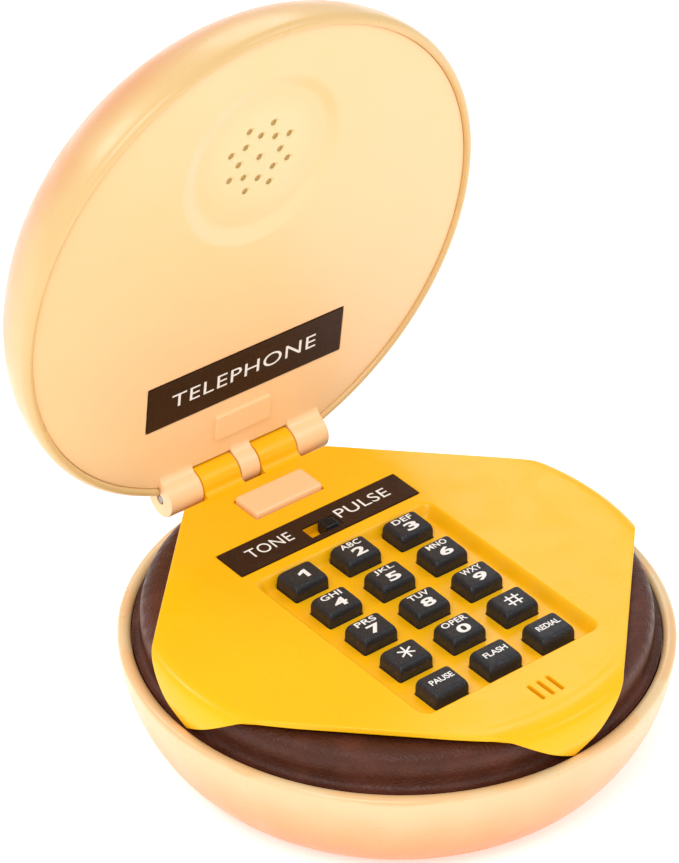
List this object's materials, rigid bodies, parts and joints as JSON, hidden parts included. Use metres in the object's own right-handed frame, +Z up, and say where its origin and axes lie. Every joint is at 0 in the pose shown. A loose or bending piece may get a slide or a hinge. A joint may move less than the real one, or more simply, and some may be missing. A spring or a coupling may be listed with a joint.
{
  "type": "novelty hamburger telephone",
  "caption": "Hamburger-shaped corded telephone: hinged top-bun lid with the earpiece, and a base with patty ring, cheese plate, keypad, microphone and hook key.",
  "frame": {"origin": "middle of the base pad's flat resting face, on the surface the telephone stands on", "axes": "+Z up, +Y towards the hinge at the back, -Y towards the user, +X to the user's right; the lid is open at rest"},
  "size_m": [0.1402, 0.1677, 0.1786],
  "materials": {
    "bun": "cream ABS airbrushed orange and pink at the rims and crown, glossy",
    "cover": "pale peach moulded ABS, satin gloss",
    "patty": "dark brown, fine leathery grain",
    "cheese": "saturated yellow ABS, glossy",
    "label": "dark brown printed film, satin",
    "key": "near-black moulded, fine satin, white printed legends",
    "black_plastic": "moulded black",
    "rubber": "matte",
    "board": "green solder mask",
    "mat": "grey silicone",
    "steel": "zinc plated"
  },
  "bodies": {
    "base": {"bottom_bun": "bun", "patty_ring": "patty", "cheese_plate": "cheese", "tone_pulse_label": "label", "main_board": "board", "keypad_mat": "mat", "tone_pulse_switch": "black_plastic", "hook_switch": "black_plastic", "microphone_capsule": "steel", "microphone_boot": "rubber", "ringer_buzzer": "black_plastic", "ballast_weight": "steel", "line_jack": "black_plastic", "ringer_switch": "black_plastic", "base_pad": "rubber", "base_screw_1": "steel", "base_screw_2": "steel", "base_screw_3": "steel", "base_screw_4": "steel", "board_screw_1": "steel", "board_screw_2": "steel", "board_screw_3": "steel", "board_screw_4": "steel", "hinge_pin": "steel"},
    "lid": {"top_bun": "bun", "lid_cover": "cover", "lid_label": "label", "earpiece_speaker": "steel", "earpiece_retainer": "black_plastic", "lid_screw_1": "steel", "lid_screw_2": "steel", "retainer_screw_1": "steel", "retainer_screw_2": "steel"},
    "key_1": {"key_1": "key"},
    "key_2": {"key_2": "key"},
    "key_3": {"key_3": "key"},
    "key_4": {"key_4": "key"},
    "key_5": {"key_5": "key"},
    "key_6": {"key_6": "key"},
    "key_7": {"key_7": "key"},
    "key_8": {"key_8": "key"},
    "key_9": {"key_9": "key"},
    "key_star": {"key_star": "key"},
    "key_0": {"key_0": "key"},
    "key_hash": {"key_hash": "key"},
    "key_pause": {"key_pause": "key"},
    "key_flash": {"key_flash": "key"},
    "key_redial": {"key_redial": "key"},
    "hook_key": {"hook_key": "cover"},
    "tone_pulse_knob": {"tone_pulse_knob": "key"},
    "ringer_knob": {"ringer_knob": "key"}
  },
  "joints": [
    {"name": "lid_hinge", "type": "hinge", "parent": "base", "child": "lid", "pos_m": [0, 0.06415, 0.04365], "axis": [1, 0, 0], "range_deg": [0, 83]},
    {"name": "key_1_press", "type": "slide", "parent": "base", "child": "key_1", "axis": [0, 0, -1], "range_m": [0, 0.0015], "stiffness_N_per_m": 500},
    {"name": "key_2_press", "type": "slide", "parent": "base", "child": "key_2", "axis": [0, 0, -1], "range_m": [0, 0.0015], "stiffness_N_per_m": 500},
    {"name": "key_3_press", "type": "slide", "parent": "base", "child": "key_3", "axis": [0, 0, -1], "range_m": [0, 0.0015], "stiffness_N_per_m": 500},
    {"name": "key_4_press", "type": "slide", "parent": "base", "child": "key_4", "axis": [0, 0, -1], "range_m": [0, 0.0015], "stiffness_N_per_m": 500},
    {"name": "key_5_press", "type": "slide", "parent": "base", "child": "key_5", "axis": [0, 0, -1], "range_m": [0, 0.0015], "stiffness_N_per_m": 500},
    {"name": "key_6_press", "type": "slide", "parent": "base", "child": "key_6", "axis": [0, 0, -1], "range_m": [0, 0.0015], "stiffness_N_per_m": 500},
    {"name": "key_7_press", "type": "slide", "parent": "base", "child": "key_7", "axis": [0, 0, -1], "range_m": [0, 0.0015], "stiffness_N_per_m": 500},
    {"name": "key_8_press", "type": "slide", "parent": "base", "child": "key_8", "axis": [0, 0, -1], "range_m": [0, 0.0015], "stiffness_N_per_m": 500},
    {"name": "key_9_press", "type": "slide", "parent": "base", "child": "key_9", "axis": [0, 0, -1], "range_m": [0, 0.0015], "stiffness_N_per_m": 500},
    {"name": "key_star_press", "type": "slide", "parent": "base", "child": "key_star", "axis": [0, 0, -1], "range_m": [0, 0.0015], "stiffness_N_per_m": 500},
    {"name": "key_0_press", "type": "slide", "parent": "base", "child": "key_0", "axis": [0, 0, -1], "range_m": [0, 0.0015], "stiffness_N_per_m": 500},
    {"name": "key_hash_press", "type": "slide", "parent": "base", "child": "key_hash", "axis": [0, 0, -1], "range_m": [0, 0.0015], "stiffness_N_per_m": 500},
    {"name": "key_pause_press", "type": "slide", "parent": "base", "child": "key_pause", "axis": [0, 0, -1], "range_m": [0, 0.0015], "stiffness_N_per_m": 500},
    {"name": "key_flash_press", "type": "slide", "parent": "base", "child": "key_flash", "axis": [0, 0, -1], "range_m": [0, 0.0015], "stiffness_N_per_m": 500},
    {"name": "key_redial_press", "type": "slide", "parent": "base", "child": "key_redial", "axis": [0, 0, -1], "range_m": [0, 0.0015], "stiffness_N_per_m": 500},
    {"name": "hook_key_press", "type": "slide", "parent": "base", "child": "hook_key", "axis": [0, 0, -1], "range_m": [0, 0.00125]},
    {"name": "tone_pulse_slide", "type": "slide", "parent": "base", "child": "tone_pulse_knob", "axis": [-1, 0, 0], "range_m": [0, 0.0048]},
    {"name": "ringer_slide", "type": "slide", "parent": "base", "child": "ringer_knob", "axis": [0, 1, 0], "range_m": [0, 0.005]}
  ],
  "couplings": [
    {"joint": "hook_key_press", "follows": "lid_hinge", "m_per_rad": 0.000862}
  ]
}
